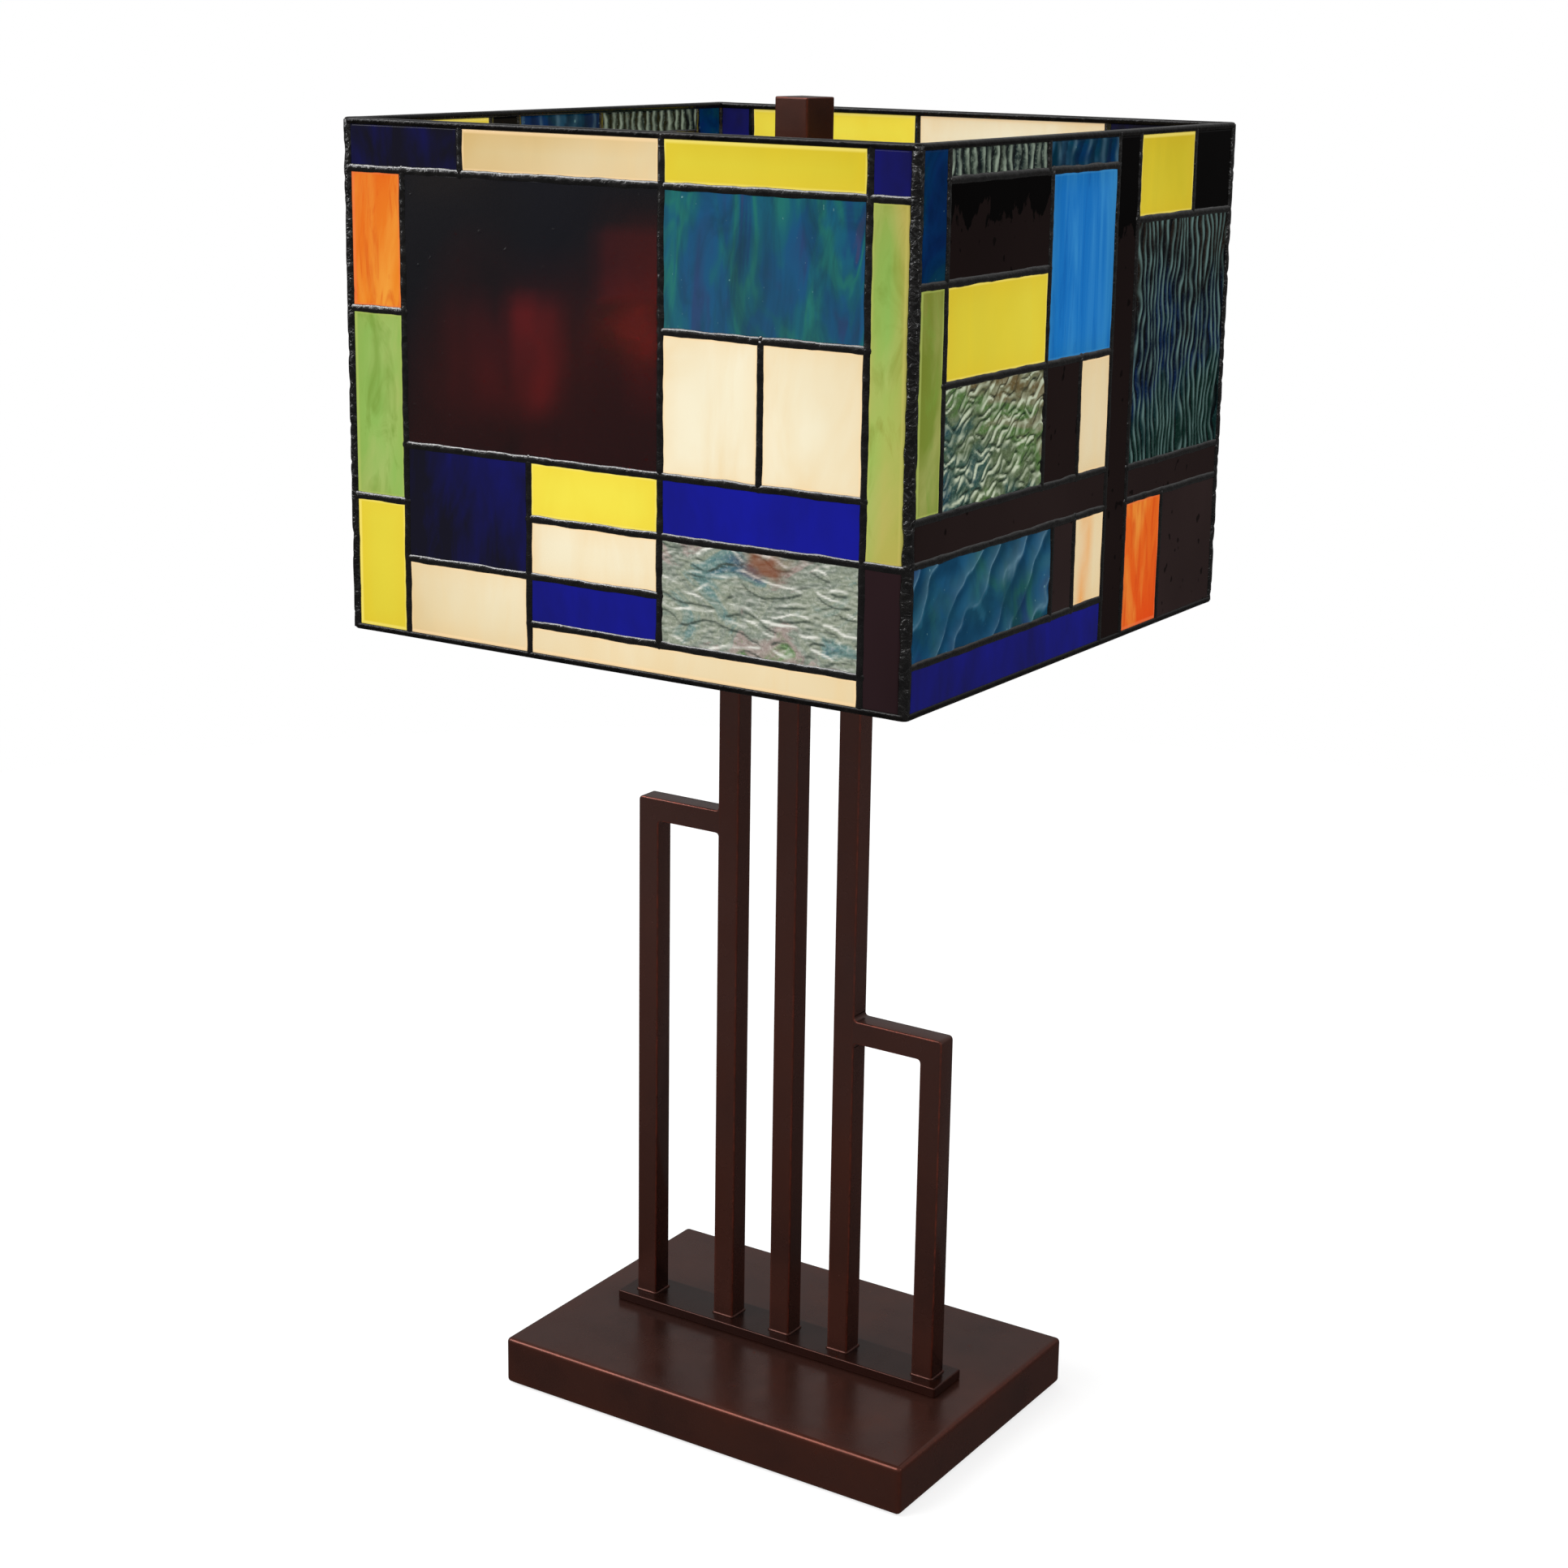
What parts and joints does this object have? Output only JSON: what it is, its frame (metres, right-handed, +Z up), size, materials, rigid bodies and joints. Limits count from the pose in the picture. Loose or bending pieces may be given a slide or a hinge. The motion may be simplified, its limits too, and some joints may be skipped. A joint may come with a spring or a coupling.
{
  "type": "table lamp",
  "caption": "Table lamp with a square leaded stained glass shade on tall square posts that rise from a low rectangular base.",
  "frame": {"origin": "middle of the base's underside, on the table", "axes": "+Z up along the posts; +X along the strip under the posts, towards the shorter outer post; the front wall of the shade faces -Y"},
  "size_m": [0.29, 0.29, 0.631],
  "materials": {
    "bronze": "dark bronze with copper rubbed through at the edges, satin",
    "felt": "matt felt",
    "black_iron": "rough casting",
    "zinc_plate": "zinc plated",
    "black_bakelite": "polished",
    "brass": "satin",
    "porcelain": "glazed",
    "bulb_glass": "clear, glossy",
    "filament": "glowing filament strips",
    "black_solder": "black patinated solder, glossy and lumpy",
    "glass_cream": "opalescent, glossy",
    "glass_yellow": "opalescent, glossy",
    "glass_orange": "streaky opalescent, glossy",
    "glass_green": "streaky opalescent, glossy",
    "glass_teal": "streaky, with seeds, glossy",
    "glass_cobalt": "cathedral, glossy",
    "glass_ruby": "dark ruby cathedral, glossy",
    "glass_sky": "wispy opalescent, glossy",
    "glass_silver": "rippled, glossy",
    "glass_dark": "dark rippled, glossy"
  },
  "bodies": {
    "lamp": {"base_pad": "felt", "bottom_plate": "zinc_plate", "base_shell": "bronze", "base_weight": "black_iron", "base_screws": "zinc_plate", "plate_screws": "zinc_plate", "cord_gland": "black_bakelite", "post_plate": "bronze", "outer_post_left": "bronze", "inner_post_left": "bronze", "centre_post": "bronze", "inner_post_right": "bronze", "outer_post_right": "bronze", "arm_left": "bronze", "arm_right": "bronze", "top_yoke": "bronze", "riser_pipe": "brass", "pipe_nuts": "brass", "cluster_body": "brass", "socket_nipples": "brass", "shade_seat": "brass", "socket_cap_left": "brass", "socket_shell_left": "brass", "socket_insulator_left": "porcelain", "screw_shell_left": "brass", "centre_contact_left": "brass", "socket_cap_right": "brass", "socket_shell_right": "brass", "socket_insulator_right": "porcelain", "screw_shell_right": "brass", "centre_contact_right": "brass"},
    "shade": {"lattice_front": "black_solder", "lattice_right": "black_solder", "lattice_back": "black_solder", "lattice_left": "black_solder", "glass_cobalt": "glass_cobalt", "glass_cream": "glass_cream", "glass_yellow": "glass_yellow", "glass_orange": "glass_orange", "glass_green": "glass_green", "glass_ruby": "glass_ruby", "glass_teal": "glass_teal", "glass_silver": "glass_silver", "glass_sky": "glass_sky", "glass_dark": "glass_dark", "bottom_rim": "black_solder", "top_rim": "black_solder", "corner_seams": "black_solder", "shade_spider": "black_solder"},
    "finial": {"finial": "bronze"},
    "bulb_left": {"bulb_base_left": "brass", "bulb_glass_left": "bulb_glass", "bulb_filament_left": "filament"},
    "knob_left": {"switch_knob_left": "black_bakelite"},
    "bulb_right": {"bulb_base_right": "brass", "bulb_glass_right": "bulb_glass", "bulb_filament_right": "filament"},
    "knob_right": {"switch_knob_right": "black_bakelite"}
  },
  "joints": [
    {"name": "shade_swivel", "type": "hinge", "parent": "lamp", "child": "shade", "pos_m": [0, 0, 0.5978], "axis": [0, 0, 1], "continuous": true},
    {"name": "finial_turn", "type": "hinge", "parent": "lamp", "child": "finial", "pos_m": [0, 0, 0.61], "axis": [0, 0, 1], "range_deg": [0, 1440]},
    {"name": "bulb_turn_left", "type": "hinge", "parent": "lamp", "child": "bulb_left", "pos_m": [-0.06928, 0, 0.51], "axis": [-0.866, 0, 0.5], "range_deg": [0, 900]},
    {"name": "bulb_turn_right", "type": "hinge", "parent": "lamp", "child": "bulb_right", "pos_m": [0.06928, 0, 0.51], "axis": [0.866, 0, 0.5], "range_deg": [0, 900]},
    {"name": "knob_turn_left", "type": "hinge", "parent": "lamp", "child": "knob_left", "pos_m": [-0.02511, -0.022, 0.4845], "axis": [0, -1, 0], "continuous": true},
    {"name": "knob_turn_right", "type": "hinge", "parent": "lamp", "child": "knob_right", "pos_m": [0.02511, -0.022, 0.4845], "axis": [0, -1, 0], "continuous": true}
  ]
}
